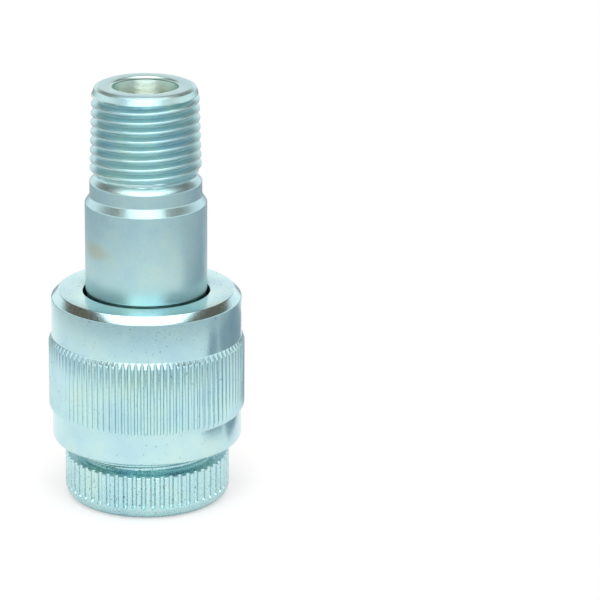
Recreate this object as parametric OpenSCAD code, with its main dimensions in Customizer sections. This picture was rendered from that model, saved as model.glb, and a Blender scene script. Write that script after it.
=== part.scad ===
// Screw-to-connect liquid coupling half, standing on the dust plug that closes it.
// Every piece is turned about Z. Z = 0 is the underside of the plug, the pipe thread is on top.
// Radii grow outward from the bore by named walls, and heights grow upward from the plug.

/* [Flow path] */
// Bore through the pipe end
bore_d = 12.6; // [9:0.1:16]
// How much wider in radius the valve chamber is than the bore
chamber_step = 1.9; // [1.5:0.1:3]
// Travel of the valve when the mating half opens it
valve_lift = 5; // [3:0.5:6]
// Length of the valve chamber above the housing flange, besides that travel
spring_room = 10; // [8:0.5:14]

/* [Pipe tail] */
// Wall of the shank round the valve chamber
shank_wall = 3.55; // [3:0.05:5]
// Length of shank that shows above the sleeve
shank_len = 17.6; // [12:0.2:26]
// How much smaller in radius the shank is where the sleeve's lip turns round it
lip_relief = 0.25; // [0.2:0.05:0.4]
// Step in radius from the shank down to the large end of the pipe thread
pipe_step = 0.95; // [0.6:0.05:1.2]
// Height of the chamfer at that step
step_h = 1.45; // [0.8:0.05:2]
// Plain neck between the step and the thread
neck_len = 2.75; // [1.5:0.05:4]
// Pitch of the taper pipe thread, 14 turns to the inch
pipe_pitch = 1.814; // [1.3:0.001:2.2]
// Crests of the pipe thread
pipe_crests = 8; // [5:1:10]
// Depth of the pipe thread
pipe_depth = 1.15; // [0.8:0.05:1.3]
// Width of the flat on a thread crest
crest_flat = 0.3; // [0.2:0.05:0.4]
// Plain lead-in between the last crest and the end face
tip_len = 3.1; // [2:0.1:4]
// Radius that the lead-in loses up to the end face
tip_chamfer = 1.2; // [0.8:0.1:1.5]

/* [Valve housing] */
// Step in radius from the shank down to the spigot that screws into the housing
spigot_step = 0.75; // [0.5:0.05:1]
// Length of that spigot
spigot_len = 6; // [5:0.5:8]
// Wall of the housing round the spigot
housing_wall = 1.5; // [1.2:0.1:2.5]
// How far the flange stands out from the housing
flange_step = 1.2; // [1:0.1:2]
// Thickness of the flange
flange_t = 3.6; // [2.5:0.1:5]
// Length of the housing below the flange
nose_len = 13.4; // [12:0.1:18]
// How much wider in radius the socket is than the bore
socket_step = 2.3; // [1.8:0.1:3]
// Height of the valve seat, a 45 degree cone
seat_h = 1.8; // [1.2:0.1:2.2]
// Height of the throat below the seat
throat_h = 0.6; // [0.4:0.1:1]
// Distance from the mouth of the socket to its seal groove
groove_z = 3.5; // [2:0.1:4]

/* [Seals] */
// Section of the socket seal
socket_seal = 2.3; // [1.8:0.1:2.6]
// Thickness of the backup ring beside it
backup_t = 1.1; // [0.8:0.1:1.4]
// Section of the seal between tail and housing
joint_seal = 1.6; // [1.2:0.1:1.8]
// How far a seal is squeezed by its groove
seal_nip = 0.01; // [0:0.005:0.02]
// Thickness of the gasket on the plug
gasket_t = 1; // [0.6:0.1:1.5]
// Room left between the gasket and the nose of the housing
gasket_room = 0.3; // [0.2:0.05:0.5]

/* [Valve] */
// Diameter of the valve stem
stem_d = 4; // [3:0.1:5]
// Running clearance in radius of the stem in its guide
stem_clear = 0.06; // [0.02:0.01:0.1]
// Gap between the valve head and its metal seat
seat_gap = 0.3; // [0.2:0.05:0.5]
// Thickness of the valve head above its cone
head_t = 2; // [1.5:0.1:3]
// Diameter of the tip that the mating half pushes
tip_d = 6; // [4:0.1:7]
// Height of the guide ring and its arms
guide_t = 2.4; // [1.8:0.1:3]
// Width of a guide arm
arm_w = 1.6; // [1.2:0.1:2.2]
// Wire of the valve spring
spring_wire = 1; // [0.8:0.1:1.2]
// Working turns of the valve spring
spring_turns = 6; // [4:1:7]

/* [Sleeve] */
// Gap in radius between the sleeve's lip and the shank
lip_gap = 0.45; // [0.3:0.05:0.8]
// Thickness of the lip
lip_t = 5.5; // [4:0.1:8]
// Free axial play of the sleeve on the body
sleeve_play = 1.5; // [0.8:0.1:2.5]
// Gap in radius that lets the flange pass the sleeve's thread
pass_gap = 0.2; // [0.15:0.05:0.4]
// Pitch of the coupling thread
thread_pitch = 2; // [1.5:0.1:2.5]
// Wall of the sleeve outside the coupling thread
sleeve_wall = 3.4; // [2.5:0.1:5]
// Overall length of the sleeve
sleeve_len = 30; // [24:0.5:40]
// Chamfer at the top edge of the sleeve
top_chamfer = 1.35; // [0.8:0.05:2]
// Rounding of the bottom edge of the sleeve
foot_round = 1; // [0.5:0.1:1.5]
// Plain band below the knurl
low_band = 6; // [4:0.1:8]
// Length of the knurl
knurl_len = 15.1; // [10:0.1:16]
// Teeth round the knurl
knurl_teeth = 94; // [60:1:110]
// How far the knurl stands out from the plain bands
knurl_rise = 0.6; // [0.4:0.05:0.8]
// Depth of the knurl grooves
knurl_depth = 0.5; // [0.3:0.05:0.6]

/* [Retaining ring] */
// Wire of the ring that keeps the sleeve on
ring_wire = 1.4; // [1.1:0.1:1.6]
// Gap round the ring in its groove
ring_gap = 0.1; // [0.05:0.05:0.2]
// Opening of the ring, in degrees
ring_open = 24; // [10:1:40]

/* [Dust plug] */
// Height of the plug's head
head_h = 8.9; // [7:0.1:14]
// Gap between the head and the sleeve
plug_gap = 3.1; // [2:0.1:5]
// How far the head stands out from the coupling thread
head_rim = 1; // [0.6:0.1:2]
// Rounding of the head's bottom edge
head_round = 2.4; // [1:0.1:3]
// Flutes round the head
flutes = 56; // [36:1:60]
// Radius of a flute
flute_r = 0.44; // [0.3:0.02:0.5]
// Height at which the flutes run out
flute_z = 2.9; // [2:0.1:4]
// Wall of the threaded neck
neck_wall = 2.75; // [2:0.05:4]
// Floor of the plug
plug_floor = 3.5; // [2:0.1:5]
// Clearance in radius of the neck in the sleeve
neck_clear = 0.15; // [0.1:0.05:0.2]

/* [Hidden] */
smooth = 60;            // facets of a full turn on the large pieces
fine = 40;              // and on the small ones inside
past = 1;               // how far a cut runs past the face it opens
taper = 1/32;           // pipe thread taper in radius, 1:16 on the diameter

// Radii, from the bore outward
bore_r = bore_d/2;
chamber_r = bore_r + chamber_step;
shank_r = chamber_r + shank_wall;
pipe_r = shank_r - pipe_step;
spigot_r = shank_r - spigot_step;
joint_r = spigot_r + 0.03;                  // counterbore of the housing round the spigot
joint_groove_r = joint_r - joint_seal + 2*seal_nip;
housing_r = spigot_r + housing_wall;
flange_r = housing_r + flange_step;
socket_r = bore_r + socket_step;
throat_r = chamber_r - 0.2 - seat_h;
cone_r = throat_r - seat_gap;               // the valve's cone at the foot of the seat
head_edge = chamber_r - 0.9;                // radius of the valve head
thread_minor = flange_r + pass_gap;
thread_major = thread_minor + 0.55*thread_pitch;
sleeve_r = thread_major + sleeve_wall;
lip_r = shank_r + lip_gap;
cavity_r = flange_r + 0.3;                  // bore of the sleeve round the flange
ring_mid_r = flange_r - 0.05;               // centre line of the retaining ring's wire
knurl_r = sleeve_r + knurl_rise;
neck_r = thread_minor - neck_clear;
cup_r = neck_r - neck_wall;
head_r = thread_major + head_rim;

// Heights, from the plug upward
sleeve_z = head_h + plug_gap;
sleeve_top = sleeve_z + sleeve_len;
lip_z = sleeve_top - lip_t;
flange_top = lip_z - sleeve_play;
flange_z = flange_top - flange_t;
nose_z = flange_z - nose_len;
spigot_z = flange_top - spigot_len;         // the spigot's end and the floor it stands on
joint_seal_z = spigot_z + 1.6;              // middle of the seal on the spigot
seat_z = spigot_z - seat_h;                 // foot of the seat cone
socket_top = seat_z - throat_h;
spring_foot = seat_z + head_edge - cone_r + head_t;
chamber_top = flange_top + spring_room + valve_lift;
guide_z = chamber_top - guide_t;
shank_top = sleeve_top + shank_len;
relief_top = sleeve_top + 0.1;              // the full shank starts just above the sleeve
neck_z = shank_top + step_h;
thread_z = neck_z + neck_len;               // where the pipe thread starts
crest_z = thread_z + pipe_depth + pipe_pitch;
last_crest = crest_z + (pipe_crests - 1)*pipe_pitch;
tail_top = last_crest + tip_len;
ring_z = flange_z - ring_gap - ring_wire/2; // centre of the retaining ring
gasket_z = nose_z - gasket_room - gasket_t;

// Solid of revolution about Z from points [radius, height]
module turned(points, facets = smooth) {
    rotate_extrude($fn = facets) polygon(points);
}

// Ring of round section, whose centre line has radius r at height z
module o_ring(r, z, section, facets = fine) {
    translate([0, 0, z]) rotate_extrude($fn = facets) translate([r, 0]) circle(d = section, $fn = 20);
}

// Points of an arc in the profile plane, from angle a to angle b
function arc(r, z, radius, a, b, steps = 5) =
    [for (i = [0:steps]) let(t = a + (b - a)*i/steps) [r + radius*cos(t), z + radius*sin(t)]];

// Radius of the pipe thread's crest line at height z
function pipe_at(z) = pipe_r - (z - thread_z)*taper;

// One ridge of the pipe thread, 60 degrees between its flanks
function ridge(z) =
    let(foot = crest_flat/2 + pipe_depth*tan(30))
    [[pipe_at(z) - pipe_depth, z - foot], [pipe_at(z), z - crest_flat/2],
     [pipe_at(z), z + crest_flat/2], [pipe_at(z) - pipe_depth, z + foot]];

// Pipe tail: taper thread, shank and valve chamber, with the spigot that joins the housing
module tail() {
    ridges = [for (i = [0:pipe_crests - 1]) each ridge(crest_z + i*pipe_pitch)];
    tip_r = pipe_at(tail_top) - tip_chamfer;
    seal_top = joint_seal_z + joint_seal*0.65;
    relief_z = flange_top + 0.8;
    color("lightsteelblue") turned(concat(
        [[chamber_r, spigot_z], [spigot_r - 0.4, spigot_z], [spigot_r, spigot_z + 0.4],
         [spigot_r, joint_seal_z - joint_seal/2], [joint_groove_r, joint_seal_z - joint_seal/2],
         [joint_groove_r, seal_top], [spigot_r, seal_top], [spigot_r, flange_top],
         [shank_r, flange_top], [shank_r, relief_z], [shank_r - lip_relief, relief_z],
         [shank_r - lip_relief, relief_top], [shank_r, relief_top], [shank_r, shank_top], [pipe_r, neck_z], [pipe_r, thread_z],
         [pipe_at(crest_z) - pipe_depth, thread_z + pipe_depth]],
        ridges,
        [[pipe_at(tail_top) - 0.05, tail_top - 1.55], [tip_r + 0.75, tail_top - 0.35],
         [tip_r, tail_top], [bore_r + 0.3, tail_top], [bore_r, tail_top - 0.3],
         [bore_r, chamber_top], [chamber_r, chamber_top]]));
}

// Valve housing: flange, nose, socket with its seal groove, and the valve seat
module housing() {
    groove_r = socket_r + socket_seal*0.8;
    groove_top = nose_z + groove_z + socket_seal + backup_t;
    color("slategray") turned([
        [socket_r, nose_z + 0.6], [socket_r + 0.6, nose_z], [housing_r - 0.8, nose_z],
        [housing_r, nose_z + 0.8], [housing_r, flange_z], [flange_r - 0.15, flange_z],
        [flange_r, flange_z + 0.15], [flange_r, flange_top - 0.4], [flange_r - 0.4, flange_top],
        [joint_r, flange_top], [joint_r, spigot_z], [throat_r + seat_h, spigot_z],
        [throat_r, seat_z], [throat_r, socket_top], [socket_r, socket_top],
        [socket_r, groove_top], [groove_r, groove_top], [groove_r, nose_z + groove_z],
        [socket_r, nose_z + groove_z]]);
}

// Seal in the spigot's groove
module joint_seal() {
    color("black") o_ring(joint_groove_r + joint_seal/2 - seal_nip, joint_seal_z, joint_seal);
}

// Seal that grips the nose of the mating half
module socket_seal() {
    r = socket_r + socket_seal*0.3 + seal_nip;
    color("black") o_ring(r, nose_z + groove_z + socket_seal/2, socket_seal);
}

// Flat ring that backs the socket seal
module backup_ring() {
    z = nose_z + groove_z + socket_seal;
    color("white") turned([[socket_r + 0.1, z], [socket_r + socket_seal*0.8, z],
        [socket_r + socket_seal*0.8, z + backup_t], [socket_r + 0.1, z + backup_t]], fine);
}

// Guide: a ring against the chamber's shoulder, three arms, and the hub that holds the stem
module guide() {
    hub_r = stem_d/2 + 1.4;
    ring_r = chamber_r - 0.02;
    color("goldenrod") difference() {
        union() {
            turned([[bore_r + 0.2, guide_z], [ring_r, guide_z], [ring_r, chamber_top],
                    [bore_r + 0.2, chamber_top]], fine);
            for (a = [0, 120, 240]) rotate(a) translate([0, -arm_w/2, guide_z])
                cube([bore_r + 0.6, arm_w, guide_t]);
            turned([[0, guide_z - 3], [hub_r - 0.5, guide_z - 3], [hub_r, guide_z - 2.5],
                    [hub_r, chamber_top], [0, chamber_top]], fine);
        }
        translate([0, 0, guide_z - 3 - past])
            cylinder(d = stem_d + 2*stem_clear, h = guide_t + 3 + 2*past, $fn = fine);
    }
}

// Square section set into the middle of the valve's cone, standing out from it by the given height
function seal_outline(out) =
    let(mid = (head_edge - cone_r)/2, half = 0.5, deep = 0.8,
        at = function(along, off) [cone_r + mid + (along + off)*sqrt(0.5),
                                   seat_z + mid + (along - off)*sqrt(0.5)])
    [at(-half, out), at(half, out), at(half, -deep), at(-half, -deep)];

// Valve: a cone that seats upward of the throat, with a stem above and a tip below
module poppet() {
    tip_z = nose_z + groove_z;
    color("gainsboro") difference() {
        turned([[0, tip_z], [tip_d/2 - 0.5, tip_z], [tip_d/2, tip_z + 0.5],
            [tip_d/2, seat_z - 2.2], [tip_d/2 + 0.8, seat_z - 1.4], [cone_r - 0.6, seat_z - 0.6],
            [head_edge, seat_z + head_edge - cone_r],
            [head_edge, spring_foot - 0.4], [head_edge - 0.4, spring_foot],
            [stem_d/2 + 1.6, spring_foot], [stem_d/2 + 1.2, spring_foot + 0.8],
            [stem_d/2, spring_foot + 0.8], [stem_d/2, chamber_top + 1.6],
            [stem_d/2 - 0.4, chamber_top + 2], [0, chamber_top + 2]], fine);
        turned(seal_outline(0.5), fine);
    }
}

// Soft seal bonded into the cone of the valve
module poppet_seal() {
    color("black") turned(seal_outline(0.12), fine);
}

// Valve spring: round wire wound between the valve head and the guide, closed at both ends
module valve_spring() {
    low = spring_foot + spring_wire/2;
    high = guide_z - spring_wire/2 - 0.02;
    r = (stem_d/2 + 1.6 + head_edge)/2;
    steps = 20;
    sides = 6;
    ends = 1;
    total = (spring_turns + 2*ends)*steps;
    // the closed end turns rise by one wire each, the working turns share the rest
    rise = (high - low - 2*ends*spring_wire)/spring_turns;
    heights = [for (i = [0:total]) let(t = i/steps)
        low + spring_wire*min(t, ends) + rise*min(max(t - ends, 0), spring_turns)
            + spring_wire*max(t - ends - spring_turns, 0)];
    points = [for (i = [0:total], k = [0:sides - 1])
        let(turn = 360*i/steps, a = 360*k/sides, out = r + spring_wire/2*cos(a))
        [out*cos(turn), out*sin(turn), heights[i] + spring_wire/2*sin(a)]];
    walls = [for (i = [0:total - 1], k = [0:sides - 1]) let(n = (k + 1) % sides)
        [i*sides + k, i*sides + n, (i + 1)*sides + n, (i + 1)*sides + k]];
    color("silver") polyhedron(points, concat(walls,
        [[for (k = [sides - 1:-1:0]) k], [for (k = [0:sides - 1]) total*sides + k]]));
}

// Outline of the straight knurl: flat crests, sloping flanks and narrow flat roots
module knurl_outline() {
    pitch = 360/knurl_teeth;
    root_r = knurl_r - knurl_depth;
    polygon([for (i = [0:knurl_teeth - 1], p = [[-0.40, 0], [-0.16, 1], [0.16, 1], [0.40, 0]])
        let(a = (i + p[0])*pitch, r = p[1] == 1 ? knurl_r : root_r) [r*cos(a), r*sin(a)]]);
}

// Sleeve: lip round the shank, cavity for the flange, ring groove, coupling thread and knurl
module sleeve() {
    knurl_z = sleeve_z + low_band;
    knurl_top = knurl_z + knurl_len;
    groove_z0 = ring_z - ring_wire/2 - ring_gap;
    relief_z = groove_z0 - 1.2;             // top of the thread's relief
    color("powderblue") difference() {
        union() {
            turned(concat(
                arc(sleeve_r - foot_round, sleeve_z + foot_round, foot_round, -90, 0),
                [[sleeve_r, sleeve_top - top_chamfer], [sleeve_r - top_chamfer, sleeve_top],
                 [lip_r - 0.2, sleeve_top], [lip_r - 0.2, sleeve_z]]));
            intersection() {
                translate([0, 0, knurl_z]) linear_extrude(knurl_len) knurl_outline();
                turned([[lip_r, knurl_z], [sleeve_r, knurl_z], [knurl_r, knurl_z + 1],
                        [knurl_r, knurl_top - 1.25], [sleeve_r, knurl_top], [lip_r, knurl_top]]);
            }
        }
        // lip, cavity, ring groove, relief and thread bore, as one cut from end to end
        turned([[0, sleeve_z - past], [thread_major + 0.3, sleeve_z - past],
            [thread_major + 0.3, sleeve_z], [thread_minor, sleeve_z + 1.4],
            [thread_minor, relief_z - 1.8], [thread_major + 0.1, relief_z - 1.5],
            [thread_major + 0.1, relief_z], [cavity_r, relief_z], [cavity_r, groove_z0],
            [ring_mid_r + ring_wire/2 + ring_gap, groove_z0],
            [ring_mid_r + ring_wire/2 + ring_gap, flange_z], [cavity_r, flange_z],
            [cavity_r, lip_z], [lip_r, lip_z], [lip_r, sleeve_top - 0.3],
            [lip_r + 0.3, sleeve_top], [lip_r + 0.3, sleeve_top + past], [0, sleeve_top + past]]);
    }
}

// Open wire ring in the sleeve's groove, which keeps the flange under the lip
module retaining_ring() {
    color("dimgray") translate([0, 0, ring_z]) rotate(ring_open/2)
        rotate_extrude(angle = 360 - ring_open, $fn = fine)
            translate([ring_mid_r, 0]) circle(d = ring_wire, $fn = 20);
}

// Dust plug: fluted head, threaded neck and the cup inside it
module plug() {
    lip = 0.5;                              // rim that centres the gasket
    crest = sleeve_z - 1.7;                 // the turn of thread that shows below the sleeve
    color("cadetblue") difference() {
        turned(concat(
            [[0, 0]],
            arc(head_r - head_round, head_round, head_round, -90, 0, 7),
            [[head_r, head_h - 0.35], [head_r - 0.35, head_h], [neck_r - 0.6, head_h],
             [neck_r - 0.6, head_h + 0.5], [neck_r, head_h + 0.7], [thread_major - 0.1, crest - 0.1],
             [thread_major - 0.1, crest + 0.15], [neck_r, crest + 0.8],
             [neck_r, gasket_z + lip - 0.3], [neck_r - 0.3, gasket_z + lip],
             [neck_r - 0.45, gasket_z + lip], [neck_r - 0.45, gasket_z], [cup_r + 0.3, gasket_z],
             [cup_r, gasket_z - 0.3], [cup_r, plug_floor + 1], [cup_r - 1, plug_floor],
             [0, plug_floor]]));
        for (i = [0:flutes - 1]) rotate(360*i/flutes) translate([head_r - 0.02, 0, flute_z]) {
            cylinder(r = flute_r, h = head_h, $fn = 14);
            sphere(r = flute_r, $fn = 14);
        }
    }
}

// Gasket on the plug's neck
module plug_gasket() {
    color("black") turned([[cup_r + 0.35, gasket_z], [neck_r - 0.48, gasket_z],
        [neck_r - 0.48, gasket_z + gasket_t], [cup_r + 0.35, gasket_z + gasket_t]], fine);
}

tail();
housing();
joint_seal();
socket_seal();
backup_ring();
guide();
poppet();
poppet_seal();
valve_spring();
sleeve();
retaining_ring();
plug();
plug_gasket();
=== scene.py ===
# Screw-to-connect liquid coupling half, standing on its dust plug: looks, floor, light and camera.
import math

import bmesh
import bpy
from mathutils import Matrix


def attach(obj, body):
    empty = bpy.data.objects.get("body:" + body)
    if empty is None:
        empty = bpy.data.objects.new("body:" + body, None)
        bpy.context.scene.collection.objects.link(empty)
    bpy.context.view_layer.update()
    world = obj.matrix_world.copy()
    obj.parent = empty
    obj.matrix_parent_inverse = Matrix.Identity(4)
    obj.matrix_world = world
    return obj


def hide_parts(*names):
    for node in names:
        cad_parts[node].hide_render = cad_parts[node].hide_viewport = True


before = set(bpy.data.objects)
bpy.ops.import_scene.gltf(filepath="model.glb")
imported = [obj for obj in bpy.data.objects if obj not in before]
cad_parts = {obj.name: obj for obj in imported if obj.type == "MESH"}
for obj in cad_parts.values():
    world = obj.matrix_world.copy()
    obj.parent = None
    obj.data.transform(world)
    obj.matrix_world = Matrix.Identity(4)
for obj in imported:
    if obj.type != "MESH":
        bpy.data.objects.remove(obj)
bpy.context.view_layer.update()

# ---------------------------------------------------------------------------------------------
# Pipe tail. Turned from free-cutting steel bar, then zinc plated with a blue passivation.
# It carries the half-inch taper pipe thread and screws into the housing under the sleeve.

MM = 0.001


def linear(hex_colour):
    """An sRGB hex colour as linear RGBA."""
    parts = [int(hex_colour[i:i + 2], 16)/255 for i in (1, 3, 5)]
    return [c/12.92 if c <= 0.04045 else ((c + 0.055)/1.055)**2.4 for c in parts] + [1.0]


def between(table, x):
    """The value at x in a table of (x, value) points, straight between them."""
    if x <= table[0][0]:
        return table[0][1]
    for (x0, v0), (x1, v1) in zip(table, table[1:]):
        if x <= x1:
            return v0 + (v1 - v0)*(x - x0)/(x1 - x0)
    return table[-1][1]


def soften(outline, size, closed=True, steps=3):
    """An outline of (radius, height) with each corner that turns more than 12 degrees eased by size."""
    slight = math.radians(12)
    eased = []
    for i, (r, z) in enumerate(outline):
        if not closed and i in (0, len(outline) - 1) or r < 0.01:
            eased.append((r, z))
            continue
        (r1, z1), (r2, z2) = outline[i - 1], outline[(i + 1) % len(outline)]
        turn = math.atan2((r - r1)*(z2 - z) - (z - z1)*(r2 - r),
                          (r - r1)*(r2 - r) + (z - z1)*(z2 - z))
        if abs(turn) < slight:
            eased.append((r, z))
            continue
        back, on = math.hypot(r1 - r, z1 - z), math.hypot(r2 - r, z2 - z)
        a, b = min(size, 0.4*back)/back, min(size, 0.4*on)/on
        for k in range(steps + 1):
            t = k/steps
            before, after = (1 - t)**2*a, t*t*b
            eased.append((r + before*(r1 - r) + after*(r2 - r), z + before*(z1 - z) + after*(z2 - z)))
    return eased


def turned(name, rows, angles, spiral=(0, 0, 0), closed=True):
    """A turned mesh. Each row is one (radius, height) or a list with one for each angle. spiral is
    (first row, last row, rows to a turn) of the rows that climb with a thread, and so meet a turn on."""
    count = len(angles)
    mesh = bpy.data.meshes.new(name)
    work = bmesh.new()
    grid = []
    for row in rows:
        points = row if isinstance(row, list) else [row]*count
        grid.append([work.verts.new((r*math.cos(a)*MM, r*math.sin(a)*MM, z*MM))
                     for (r, z), a in zip(points, angles)])
    first, last, step = spiral
    for j in range(len(rows) if closed else len(rows) - 1):
        up = (j + 1) % len(rows)
        for c in range(count):
            # past the seam a thread's rows have climbed by one turn
            climb = step if c == count - 1 and first <= j < last else 0
            if climb and up + climb > last:
                continue
            side = (c + 1) % count
            work.faces.new((grid[j][c], grid[j + climb][side], grid[up + climb][side], grid[up][c]))
    bmesh.ops.remove_doubles(work, verts=work.verts, dist=2e-6)
    bmesh.ops.dissolve_degenerate(work, edges=work.edges, dist=1e-6)
    bmesh.ops.recalc_face_normals(work, faces=work.faces)
    work.to_mesh(mesh)
    work.free()
    mesh.shade_smooth()
    mesh.set_sharp_from_angle(angle=math.radians(32))
    piece = bpy.data.objects.new(name, mesh)
    bpy.context.collection.objects.link(piece)
    return piece


def climbing(pitch, crest_z, low, high, offsets, radius, angles, start):
    """Rows that follow a right-hand thread between two heights. offsets are heights above the
    crest's centre within one pitch, and radius(height, above) gives the radius there."""
    turns = math.ceil((high - low)/pitch) + 3
    below = crest_z - pitch*(math.ceil((crest_z - low)/pitch) + 1.5)
    rows = []
    for turn in range(turns):
        for above in offsets:
            row = []
            for c in range(len(angles)):
                z = below + pitch*(turn + c/len(angles)) + above
                z = min(max(z, low), high)
                phase = (z - below)/pitch - c/len(angles)
                row.append((radius(z, (phase - math.floor(phase + 0.5))*pitch), z))
            rows.append(row)
    return rows, (start, start + len(rows) - 1, len(offsets))


def add(tree, kind, inputs=None, stops=(), **settings):
    """Adds a shader node with its settings, its inputs set or linked, and its (place, colour) stops."""
    made = tree.nodes.new("ShaderNode" + kind)
    for key, value in settings.items():
        setattr(made, key, value)
    for key, value in (inputs or {}).items():
        if isinstance(value, bpy.types.NodeSocket):
            tree.links.new(value, made.inputs[key])
        else:
            made.inputs[key].default_value = linear(value) if isinstance(value, str) else value
    if stops:
        band = made.color_ramp.elements
        band.remove(band[0])
        band[0].position, band[0].color = stops[0][0], linear(stops[0][1])
        for place, hex_colour in stops[1:]:
            band.new(place).color = linear(hex_colour)
    return made


def new_material(name):
    """A material with an empty node tree, and that tree."""
    material = bpy.data.materials.new(name)
    material.use_nodes = True
    material.node_tree.nodes.clear()
    return material, material.node_tree


def finish_with(piece, material):
    """Gives the piece this material and no other."""
    piece.data.materials.clear()
    piece.data.materials.append(material)


def spot(tree, place, centre, radii):
    """1 inside a soft-edged ellipsoid at a centre in mm, falling to 0 outside it."""
    away = add(tree, "VectorMath", {0: place, 1: [c*MM for c in centre]}, operation="SUBTRACT")
    scaled = add(tree, "VectorMath", {0: away.outputs[0], 1: [1/(r*MM) for r in radii]},
                 operation="MULTIPLY")
    far = add(tree, "VectorMath", {0: scaled.outputs[0]}, operation="LENGTH")
    return add(tree, "MapRange", {"Value": far.outputs["Value"], "From Min": 0.5, "From Max": 1.5,
                                  "To Min": 1.0, "To Max": 0.0}).outputs["Result"]


def along_the_lathe(tree, place):
    """Radius and height only, so that a pattern runs round the piece as a lathe tool leaves it."""
    parts = add(tree, "SeparateXYZ", {0: place})
    flat = add(tree, "CombineXYZ", {"X": parts.outputs["X"], "Y": parts.outputs["Y"]})
    radius = add(tree, "VectorMath", {0: flat.outputs[0]}, operation="LENGTH")
    return add(tree, "CombineXYZ", {"X": radius.outputs["Value"], "Z": parts.outputs["Z"]}).outputs[0]


A, B, RESULT = 6, 7, 2                    # the colour sockets of a Mix node


def blue_zinc(name, rough, grain_mm, grain_depth, speck=0.0, stains=()):
    """Bright zinc with a blue passivation: pale cyan metal, mottled where the bath ran off it.
    rough is its mean roughness, grain the size and depth in mm of its pickled surface, speck how
    many dark specks it has, and stains are each a centre, radii, colour and strength."""
    material, tree = new_material(name)
    place = add(tree, "TexCoord").outputs["Object"]
    cloud = add(tree, "TexNoise", {"Vector": place, "Scale": 1/(7*MM), "Detail": 3.0,
                                   "Roughness": 0.55})
    grain = add(tree, "TexNoise", {"Vector": place, "Scale": 1/(grain_mm*MM), "Detail": 4.0,
                                   "Roughness": 0.65})
    # turning lines are nearer 0.1 mm apart, and are drawn coarser so that they show
    ring = add(tree, "TexNoise", {"Vector": along_the_lathe(tree, place), "Scale": 1/(0.35*MM),
                                  "Detail": 2.0})
    tint = add(tree, "ValToRGB", {"Fac": cloud.outputs["Fac"]},
               [(0.30, "#adcfd8"), (0.50, "#b5d7da"), (0.70, "#bedbd7")]).outputs["Color"]
    shade = add(tree, "MapRange", {"Value": grain.outputs["Fac"], "From Min": 0.3, "From Max": 0.7,
                                   "To Min": 0.0, "To Max": 1.0})
    hollow = add(tree, "Mix", {"Factor": 0.22, A: tint, B: "#8fb9c2"}, data_type="RGBA")
    colour = add(tree, "Mix", {"Factor": shade.outputs["Result"], A: hollow.outputs[RESULT], B: tint},
                 data_type="RGBA").outputs[RESULT]
    if speck:
        fleck = add(tree, "TexNoise", {"Vector": place, "Scale": 1/(0.45*MM), "Detail": 1.0})
        dark = add(tree, "MapRange", {"Value": fleck.outputs["Fac"], "From Min": 0.78 - 0.1*speck,
                                      "From Max": 0.86 - 0.1*speck})
        colour = add(tree, "Mix", {"Factor": dark.outputs["Result"], A: colour, B: "#6d8f95"},
                     data_type="RGBA").outputs[RESULT]
    for centre, radii, stain, strength in stains:
        mask = add(tree, "Math", {0: spot(tree, place, centre, radii), 1: strength},
                   operation="MULTIPLY")
        uneven = add(tree, "Math", {0: mask.outputs[0], 1: shade.outputs["Result"]},
                     operation="MULTIPLY")
        most = add(tree, "Math", {0: mask.outputs[0], 1: uneven.outputs[0]}, operation="ADD")
        colour = add(tree, "Mix", {"Factor": most.outputs[0], A: colour, B: stain},
                     data_type="RGBA").outputs[RESULT]
    roughness = add(tree, "MapRange", {"Value": grain.outputs["Fac"], "From Min": 0.25,
                                       "From Max": 0.75, "To Min": rough - 0.07, "To Max": rough + 0.07})
    lines = add(tree, "Math", {0: ring.outputs["Fac"], 1: 0.15}, operation="MULTIPLY")
    relief = add(tree, "Math", {0: grain.outputs["Fac"], 1: lines.outputs[0]}, operation="ADD")
    bump = add(tree, "Bump", {"Height": relief.outputs[0], "Strength": 1.0, "Distance": grain_depth*MM})
    shader = add(tree, "BsdfPrincipled", {"Base Color": colour, "Metallic": 1.0,
                                          "Roughness": roughness.outputs["Result"],
                                          "Normal": bump.outputs["Normal"]})
    add(tree, "OutputMaterial", {"Surface": shader.outputs[0]})
    return material


SHANK_R, SHANK_TOP = 11.75, 59.6          # mm, as every size here
RELIEF_R = 11.5                           # the shank under the sleeve's lip
SPIGOT_R, GROOVE_R, CHAMBER_R, BORE_R = 11.0, 9.43, 8.2, 6.3
PIPE_R, THREAD_Z = 10.8, 63.8             # large end of the pipe thread
PIPE_PITCH = 1.814                        # 14 turns to the inch
PIPE_TAPER = 1/32                         # in radius, 1 in 16 on the diameter
CREST_Z = 66.764                          # first whole crest, at the front
TOP = 82.562
DRILL_STEP = 0.24

tail_angles = [math.radians(90 + 360*i/240) for i in range(240)]
# depth below the crest, by height from its middle: a rounded crest, 60 degree flanks, a rounded root
pipe_profile = [(0, 0), (0.09, 0.0), (0.15, 0.03), (0.21, 0.105), (0.74, 1.022), (0.80, 1.10),
                (0.86, 1.15)]
# radii where the thread runs out at the neck, starts at the tip, and fades into the lead-in
run_out = [(THREAD_Z, PIPE_R), (64.98, 9.62), (65.35, 9.62), (66.55, 10.9)]
lead_in = [(80.3, 10.9), (80.9, 10.24), (81.05, 10.13), (82.2, 9.71)]
thread_end = [(80.25, 9.0), (81.05, 10.13), (82.2, 9.71)]


def pipe_radius(z, above):
    """Radius of the taper thread, trimmed by the run-out at its foot and the lead-in at its tip."""
    r = PIPE_R - (z - THREAD_Z)*PIPE_TAPER - between(pipe_profile, abs(above))
    if z < 65.35:
        return between(run_out, z)
    if z < 67:
        r = min(r, between(run_out, z))
    if z > 80.25:
        r = max(r, between(thread_end, z))
    if z > 80.3:
        r = min(r, between(lead_in, z))
    return r


sides = [0.09, 0.15, 0.21, 0.47, 0.74, 0.80, 0.86]
offsets = [-s for s in reversed(sides)] + [0.0] + sides + [0.907]
offsets = sorted(o % PIPE_PITCH for o in offsets)

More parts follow.
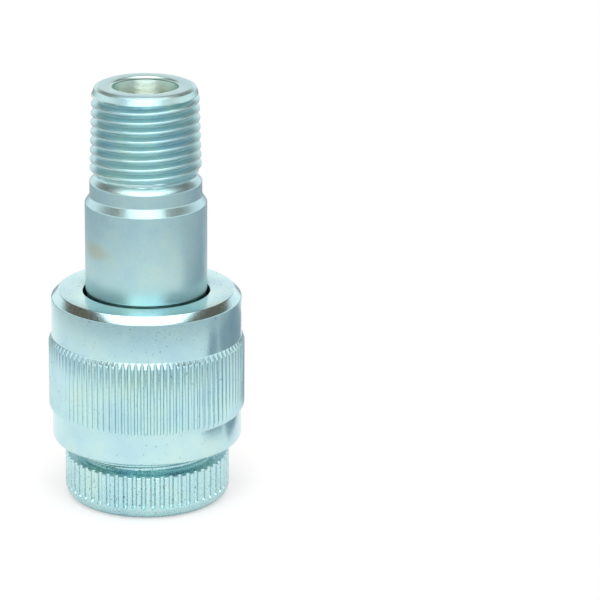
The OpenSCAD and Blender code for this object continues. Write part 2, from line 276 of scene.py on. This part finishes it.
lower = soften([(CHAMBER_R, 49.0), (CHAMBER_R, 29.0), (SPIGOT_R - 0.4, 29.0), (SPIGOT_R, 29.4),
                (SPIGOT_R, 29.8), (GROOVE_R, 29.8), (GROOVE_R, 31.64), (SPIGOT_R, 31.64),
                (SPIGOT_R, 35.0), (SHANK_R, 35.0), (SHANK_R, 35.8), (RELIEF_R, 35.8),
                (RELIEF_R, 42.1), (SHANK_R, 42.1), (SHANK_R, SHANK_TOP), (PIPE_R, 61.05),
                (PIPE_R, THREAD_Z - 0.06), (PIPE_R - 0.1, THREAD_Z + 0.1)], 0.16, closed=False)
thread, spiral = climbing(PIPE_PITCH, CREST_Z, THREAD_Z + 0.1, 82.1, offsets, pipe_radius,
                          tail_angles, len(lower))
upper = soften([(9.745, 82.1), (9.71, 82.2), (8.96, TOP), (6.6, TOP), (6.33, TOP - 0.3),
                (6.33, TOP - 0.5)], 0.12, closed=False)
# the drill leaves fine steps down the first stretch of the bore
for i in range(44):
    z = TOP - 0.6 - DRILL_STEP*i
    upper += [(BORE_R + 0.04, z), (BORE_R + 0.04, z - 0.06), (BORE_R - 0.02, z - 0.2)]
upper += [(BORE_R, 60.0), (BORE_R, 50.0), (CHAMBER_R, 50.0), (CHAMBER_R, 49.5)]
tail = turned("pipe_tail", lower + thread + upper, tail_angles, spiral)
# satin turned and pickled, with a yellow drip mark on the shank, and yellower down the bore where
# the bath drained slowly
finish_with(tail, blue_zinc("blue_zinc_on_turned_steel", 0.33, 0.4, 0.02,
                            stains=[((-9.6, -6.8, 51.6), (3.6, 3.6, 1.5), "#b9b489", 0.30),
                                    ((0.0, 0.0, 76.0), (6.45, 6.45, 7.0), "#c9c08c", 0.60)]))
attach(tail, "coupler")
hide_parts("tail")

# ---------------------------------------------------------------------------------------------
# Valve housing, its seals and the guide. The housing is turned steel, screwed to the tail, and its
# flange holds the sleeve. The seals are moulded nitrile, the backup ring is cut PTFE, and the
# guide is a turned and milled brass spider that centres the valve's stem.

# the same plating, a little duller, as it is inside the sleeve
finish_with(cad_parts["housing"], blue_zinc("blue_zinc_inside_the_sleeve", 0.34, 0.5, 0.01))


def nitrile(name):
    """Black moulded nitrile rubber: matt, with a faint flow grain and a dusty bloom."""
    material, tree = new_material(name)
    place = add(tree, "TexCoord").outputs["Object"]
    bloom = add(tree, "TexNoise", {"Vector": place, "Scale": 1/(1.5*MM), "Detail": 4.0})
    skin = add(tree, "TexNoise", {"Vector": place, "Scale": 1/(0.12*MM), "Detail": 2.0})
    colour = add(tree, "ValToRGB", {"Fac": bloom.outputs["Fac"]},
                 [(0.35, "#1c1c1d"), (0.70, "#2b2b2c")]).outputs["Color"]
    rough = add(tree, "MapRange", {"Value": bloom.outputs["Fac"], "To Min": 0.42, "To Max": 0.62})
    bump = add(tree, "Bump", {"Height": skin.outputs["Fac"], "Strength": 0.6, "Distance": 0.01*MM})
    shader = add(tree, "BsdfPrincipled", {"Base Color": colour, "Roughness": rough.outputs["Result"],
                                          "IOR": 1.52, "Normal": bump.outputs["Normal"]})
    add(tree, "OutputMaterial", {"Surface": shader.outputs[0]})
    return material


rubber = nitrile("moulded_nitrile_rubber")
for part in ("joint_seal", "socket_seal"):
    finish_with(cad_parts[part], rubber)

# waxy white, with faint knife lines
ptfe, tree = new_material("cut_ptfe")
place = add(tree, "TexCoord").outputs["Object"]
lines = add(tree, "TexNoise", {"Vector": place, "Scale": 1/(0.3*MM), "Detail": 3.0})
colour = add(tree, "ValToRGB", {"Fac": lines.outputs["Fac"]},
             [(0.3, "#e2e1dc"), (0.7, "#f0efeb")]).outputs["Color"]
bump = add(tree, "Bump", {"Height": lines.outputs["Fac"], "Strength": 0.4, "Distance": 0.01*MM})
shader = add(tree, "BsdfPrincipled", {"Base Color": colour, "Roughness": 0.45, "IOR": 1.35,
                                      "Subsurface Weight": 0.1, "Subsurface Scale": 0.5*MM,
                                      "Normal": bump.outputs["Normal"]})
add(tree, "OutputMaterial", {"Surface": shader.outputs[0]})
finish_with(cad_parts["backup_ring"], ptfe)


def turned_metal(name, light, dark, rough, line_mm):
    """Bare turned metal: tool lines round the piece, and a slightly uneven shine."""
    material, tree = new_material(name)
    place = add(tree, "TexCoord").outputs["Object"]
    line = add(tree, "TexNoise", {"Vector": along_the_lathe(tree, place), "Scale": 1/(line_mm*MM),
                                  "Detail": 3.0})
    cloud = add(tree, "TexNoise", {"Vector": place, "Scale": 1/(2.5*MM), "Detail": 3.0})
    colour = add(tree, "ValToRGB", {"Fac": cloud.outputs["Fac"]},
                 [(0.35, dark), (0.65, light)]).outputs["Color"]
    shine = add(tree, "MapRange", {"Value": cloud.outputs["Fac"], "To Min": rough - 0.08,
                                   "To Max": rough + 0.08})
    bump = add(tree, "Bump", {"Height": line.outputs["Fac"], "Strength": 0.8, "Distance": 0.01*MM})
    shader = add(tree, "BsdfPrincipled", {"Base Color": colour, "Metallic": 1.0,
                                          "Roughness": shine.outputs["Result"],
                                          "Normal": bump.outputs["Normal"]})
    add(tree, "OutputMaterial", {"Surface": shader.outputs[0]})
    return material


# bright yellow, with the cutter's lines still on it
brass = turned_metal("turned_brass", "#d9bc7c", "#c4a35f", 0.28, 0.2)
finish_with(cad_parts["guide"], brass)

# ---------------------------------------------------------------------------------------------
# Valve. A stainless poppet with a nitrile ring in its cone, pushed on to its seat by a spring of
# drawn music wire round the stem.

# a whiter grey than the wire, and brighter
stainless = turned_metal("turned_stainless_steel", "#c9cbcc", "#b5b8ba", 0.24, 0.2)
finish_with(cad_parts["poppet"], stainless)
finish_with(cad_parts["poppet_seal"], rubber)

# grey steel with fine die lines, darker than the plating
wire = turned_metal("drawn_spring_wire", "#8f9295", "#6f7276", 0.30, 0.15)
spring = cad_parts["valve_spring"]
finish_with(spring, wire)
rounder = spring.modifiers.new("rounder", "SUBSURF")
rounder.levels = rounder.render_levels = 1
spring.data.shade_smooth()

# ---------------------------------------------------------------------------------------------
# Locking sleeve. Turned steel tube, straight-knurled for grip, zinc plated like the tail. Its lip
# runs round the shank, and its bore carries the M30 x 2 thread that draws the two halves together.

TEETH = 94
SLEEVE_R, KNURL_R, ROOT_R = 18.4, 19.0, 18.5
KNURL_Z, KNURL_TOP = 18.0, 33.1
SLEEVE_Z, FOOT_ROUND = 12.0, 1.0
LIP_R, CAVITY_R, GROOVE_OUT = 12.2, 14.0, 14.45
NUT_MINOR, NUT_END = 13.9, 26.2           # bore of the sleeve's thread, and where the thread ends
COUPLING_PITCH = 2.0                      # M30 x 2

# one tooth: place across the pitch, and height from root to crest
tooth = [(-0.46, 0.0), (-0.34, 0.06), (-0.19, 0.80), (-0.10, 1.0),
         (0.10, 1.0), (0.19, 0.80), (0.34, 0.06), (0.46, 0.0)]
sleeve_angles = [2*math.pi*(i + across)/TEETH for i in range(TEETH) for across, _ in tooth]
heights = [rise for _ in range(TEETH) for _, rise in tooth]
ends = [(KNURL_Z, SLEEVE_R), (KNURL_Z + 1, KNURL_R), (KNURL_TOP - 1.25, KNURL_R),
        (KNURL_TOP, SLEEVE_R)]


def knurled(z):
    """A row of the knurl, cut down by the chamfer at either end."""
    top = between(ends, z)
    return [(max(SLEEVE_R, min(top, ROOT_R + (KNURL_R - ROOT_R)*rise)), z) for rise in heights]


outside = [(SLEEVE_R - FOOT_ROUND + FOOT_ROUND*math.sin(math.radians(a)),
            SLEEVE_Z + FOOT_ROUND - FOOT_ROUND*math.cos(math.radians(a))) for a in range(0, 91, 15)]
outside.append((SLEEVE_R, KNURL_Z - 0.02))
knurl_rows = [KNURL_Z + step for step in (0, 0.17, 0.34, 0.55, 0.78, 1.0)]
knurl_rows += [KNURL_TOP - step for step in (1.25, 0.98, 0.7, 0.42, 0.21, 0)]
# over the top, down the lip and the cavity, and past the retaining ring's groove to the thread
over_the_top = soften([(SLEEVE_R, KNURL_TOP + 0.02), (SLEEVE_R, 40.65), (17.05, 42.0), (12.5, 42.0),
                       (LIP_R, 41.7), (LIP_R, 36.5), (CAVITY_R, 36.5), (CAVITY_R, 31.4),
                       (GROOVE_OUT, 31.4), (GROOVE_OUT, 29.8), (CAVITY_R, 29.8), (CAVITY_R, 28.6),
                       (15.1, 28.6), (15.1, 27.1), (14.4, 26.5), (NUT_MINOR, NUT_END)],
                      0.14, closed=False)
nut_profile = [(0, 1.1), (0.14, 1.1), (0.72, 0.0), (1.0, 0.0)]


def nut_radius(z, above):
    """Radius of the sleeve's thread: its groove stands where the plug's crest is."""
    cut = between(nut_profile, abs(above))
    if z > NUT_END - 1:
        cut *= max(0.0, NUT_END - z)
    if z < 13.8:
        cut = max(cut, between([(SLEEVE_Z, 1.4), (13.4, 0.0)], z)) if z > 12.05 else 1.4
    return NUT_MINOR + min(cut, 1.4)


PLUG_CREST = 10.3                         # height of the plug's lowest crest
nut_offsets = sorted(o % COUPLING_PITCH for o in (-0.72, -0.43, -0.14, 0.14, 0.43, 0.72, 1.0))
nut_rows, nut_spiral = climbing(COUPLING_PITCH, PLUG_CREST + 2*COUPLING_PITCH, 12.04, NUT_END,
                                nut_offsets, nut_radius, sleeve_angles, 0)
sleeve = turned("locking_sleeve", nut_rows + [(NUT_MINOR + 1.4, SLEEVE_Z)] + outside
                + [knurled(z) for z in knurl_rows] + over_the_top, sleeve_angles, nut_spiral)
# brighter than the tail, because the bar was turned finer, with specks where the knurl tore
finish_with(sleeve, blue_zinc("blue_zinc_on_knurled_steel", 0.20, 0.35, 0.005, speck=0.8))
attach(sleeve, "sleeve")
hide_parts("sleeve")

# ---------------------------------------------------------------------------------------------
# Retaining ring. An open ring of spring wire, sprung into the sleeve's groove under the
# housing's flange, which keeps the sleeve on.

finish_with(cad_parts["retaining_ring"], wire)

# ---------------------------------------------------------------------------------------------
# Dust plug. Turned and hollowed from the same steel, zinc plated, with flutes broached round its
# head for the fingers, and an M30 x 2 thread on its neck.

HEAD_R, HEAD_ROUND = 16.0, 2.4
FLUTES, FLUTE_R, FLUTE_END = 56, 0.5, 2.9
NECK_MAJOR, CUP_R = 14.85, 11.0
rim_pitch = 2*math.pi*HEAD_R/FLUTES
# columns across one flute and the land beside it
across = [-0.50, -0.47, -0.40, -0.28, -0.14, 0.0, 0.14, 0.28, 0.40, 0.47, 0.50, rim_pitch/2]
plug_angles = [2*math.pi*i/FLUTES + x/HEAD_R for i in range(FLUTES) for x in across]
from_flute = [x for _ in range(FLUTES) for x in across]
plug_profile = [(0, 0), (0.10, 0.0), (0.18, 0.06), (0.74, 1.04), (0.82, 1.1), (1.0, 1.1)]


def fluted(r, z):
    """A row of the head, with its flutes cut in, which end in a ball at the foot."""
    row = []
    for x in from_flute:
        left = FLUTE_R**2 - x*x - min(0.0, z - FLUTE_END)**2
        cut = HEAD_R - 0.02 - math.sqrt(left) if left > 0 and abs(x) < FLUTE_R else r
        row.append((min(r, cut), z))
    return row


def plug_radius(z, above):
    """M30 x 2 crests on the neck, run out at both ends."""
    r = NECK_MAJOR - between(plug_profile, abs(above))
    r = min(r, between([(9.0, 13.15), (9.35, 13.3), (9.9, NECK_MAJOR)], z))
    return min(r, between([(15.6, NECK_MAJOR), (16.9, 13.7)], z))


# the underside is relieved in the middle, and stands on the ring round it
plug_rows = soften([(0.0, 0.45), (8.0, 0.45), (8.5, 0.0), (HEAD_R - HEAD_ROUND, 0.0)], 0.12,
                   closed=False)
for a in (12, 25, 37, 48, 58, 67, 75, 82, 88):
    plug_rows.append(fluted(HEAD_R - HEAD_ROUND + HEAD_ROUND*math.sin(math.radians(a)),
                            HEAD_ROUND - HEAD_ROUND*math.cos(math.radians(a))))
plug_rows += [fluted(HEAD_R, z) for z in (2.41, 2.45, 2.52, 2.63, 2.77, 2.9, 3.2, 5.8, 8.4)]
top_edge = ((0, 8.62), (0.08, 8.77), (0.22, 8.87), (0.4, 8.9))
plug_rows += [fluted(HEAD_R - back, z) for back, z in top_edge]
plug_rows += [(15.2, 8.9), (13.4, 8.9), (13.2, 9.0)]
neck_offsets = sorted(o % COUPLING_PITCH for o in (-0.82, -0.74, -0.18, -0.10, 0.0, 0.10, 0.18, 0.74,
                                                   0.82, 1.0))
neck_rows, neck_spiral = climbing(COUPLING_PITCH, PLUG_CREST, 9.02, 16.9, neck_offsets, plug_radius,
                                  plug_angles, len(plug_rows))
plug_rows += neck_rows
plug_rows += soften([(13.7, 16.95), (13.45, 17.2), (13.3, 17.2), (13.3, 16.7), (CUP_R + 0.3, 16.7),
                     (CUP_R, 16.4), (CUP_R, 4.5), (CUP_R - 1, 3.5), (0.0, 3.5)], 0.1, closed=False)
plug = turned("dust_plug", plug_rows, plug_angles, neck_spiral, closed=False)
# the same plating, with the most specks, because the lands are left as they were broached
finish_with(plug, blue_zinc("blue_zinc_on_fluted_steel", 0.27, 0.35, 0.02, speck=1.2))
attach(plug, "plug")
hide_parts("plug")

# ---------------------------------------------------------------------------------------------
# Plug gasket. A flat ring of nitrile that lies on the end of the plug's neck, inside its rim,
# and keeps dust and coolant off the socket.

finish_with(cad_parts["plug_gasket"], rubber)

# ---------------------------------------------------------------------------------------------
# Studio. A white paper sweep, two softboxes, two grey cards, a plain room and the camera.

floor_mesh = bpy.data.meshes.new("floor")
half = 4.0                                # metres
floor_mesh.from_pydata([(-half, -half, 0), (half, -half, 0), (half, half, 0), (-half, half, 0)],
                       [], [(0, 1, 2, 3)])
floor = bpy.data.objects.new("floor", floor_mesh)
bpy.context.collection.objects.link(floor)
# matt white, greyer away from the coupling as a painted pool of light, and white to the camera but for
# the shadow
paper, tree = new_material("white_paper_sweep")
path = add(tree, "LightPath")
spread = add(tree, "VectorMath", {0: add(tree, "TexCoord").outputs["Object"]}, operation="LENGTH")
far_off = add(tree, "MapRange", {"Value": spread.outputs["Value"], "From Min": 0.0, "From Max": 0.3})
# painted pool of light: whiter near the coupling and grey further out, which also darkens what the
# plating reflects
pool = add(tree, "ValToRGB", {"Fac": far_off.outputs["Result"]},
           [(0.12, "#fafafa"), (0.40, "#f3f5f6"), (0.58, "#bcc2c6"), (1.0, "#a5abb0")])
dull = add(tree, "BsdfDiffuse", {"Color": pool.outputs["Color"]})
white = add(tree, "Emission", {"Color": (1, 1, 1, 1), "Strength": 1.0})
whiter = add(tree, "MapRange", {"Value": spread.outputs["Value"], "From Min": 0.02, "From Max": 0.07,
                                "To Min": 0.45, "To Max": 1.0})
share = add(tree, "Math", {0: path.outputs["Is Camera Ray"], 1: whiter.outputs["Result"]},
            operation="MULTIPLY")
both = add(tree, "MixShader", {0: share.outputs[0], 1: dull.outputs[0], 2: white.outputs[0]})
add(tree, "OutputMaterial", {"Surface": both.outputs[0]})
finish_with(floor, paper)

# Two grey cards lie to the right, out of the camera's sight, and give the plating their dark bands.
card_mesh = bpy.data.meshes.new("grey_cards")
corners = ((54, -27), (150, -27), (150, 3), (54, 3), (44, 8), (150, 8), (150, 110), (44, 110))
card_mesh.from_pydata([(x*MM, y*MM, 0.3*MM) for x, y in corners], [], [(0, 1, 2, 3), (4, 5, 6, 7)])
cards = bpy.data.objects.new("grey_cards", card_mesh)
bpy.context.collection.objects.link(cards)
grey, tree = new_material("grey_card")
mottle = add(tree, "TexNoise", {"Vector": add(tree, "TexCoord").outputs["Object"], "Scale": 60.0})
shade = add(tree, "ValToRGB", {"Fac": mottle.outputs["Fac"]}, [(0.35, "#8795a0"), (0.65, "#9aa7b0")])
matt = add(tree, "BsdfDiffuse", {"Color": shade.outputs["Color"]})
add(tree, "OutputMaterial", {"Surface": matt.outputs[0]})
finish_with(cards, grey)
cards.visible_camera = cards.visible_diffuse = cards.visible_shadow = False


def softbox(name, place, aim, size, strength):
    """A rectangular lamp at a place in metres, turned towards aim, of this radiance."""
    lamp = bpy.data.lights.new(name, "AREA")
    lamp.shape = "RECTANGLE"
    lamp.size, lamp.size_y = size
    lamp.energy = strength*math.pi*size[0]*size[1]        # watts
    made = bpy.data.objects.new(name, lamp)
    made.location = place
    way = [a - p for a, p in zip(aim, place)]
    flat = math.hypot(way[0], way[1])
    heading = math.atan2(-way[0], way[1]) if flat > 1e-6 else 0
    made.rotation_euler = (math.atan2(flat, -way[2]), 0, heading)
    bpy.context.collection.objects.link(made)


softbox("overhead_softbox", (0, -0.10, 1.0), (0, -0.10, 0), (1.2, 0.9), 1.9)
softbox("front_softbox", (0, -0.80, 0.66), (0, 0, 0.06), (1.15, 0.75), 2.0)

world = bpy.data.worlds.new("studio")
bpy.context.scene.world = world
world.use_nodes = True
tree = world.node_tree
tree.nodes.clear()
way = add(tree, "TexCoord").outputs["Generated"]
up = add(tree, "SeparateXYZ", {0: way}).outputs["Z"]
# white paper round the horizon, the unlit brown room above it, and a pale ceiling
room = add(tree, "ValToRGB", {"Fac": up}, [(0.0, "#ffffff"), (0.37, "#ffffff"), (0.46, "#6a5a50"),
                                           (0.80, "#6a5a50"), (0.92, "#e8e8e8")])
path = add(tree, "LightPath")
seen = add(tree, "Mix", {"Factor": path.outputs["Is Camera Ray"], A: room.outputs["Color"],
                         B: "#ffffff"}, data_type="RGBA").outputs[RESULT]
level = add(tree, "MapRange", {"Value": path.outputs["Is Camera Ray"], "To Min": 1.3, "To Max": 1.0})
backdrop = add(tree, "Background", {"Color": seen, "Strength": level.outputs["Result"]})
add(tree, "OutputWorld", {"Surface": backdrop.outputs[0]})

# The camera stands a little above and in front of the coupling.
lens = bpy.data.cameras.new("camera")
lens.sensor_width = 36.0
lens.lens = 205.29                        # mm, as the sensor's width is
lens.clip_start, lens.clip_end = 0.01, 20
camera = bpy.data.objects.new("camera", lens)
camera.location = (29.69*MM, -627.3*MM, 250.5*MM)
pitch, roll = math.radians(18.56), math.radians(0.55)
camera.matrix_world = (Matrix.Translation(camera.location) @ Matrix.Rotation(math.pi/2 - pitch, 4, "X")
                       @ Matrix.Rotation(roll, 4, "Z"))
bpy.context.collection.objects.link(camera)
bpy.context.scene.camera = camera
bpy.context.scene.view_settings.view_transform = "Standard"
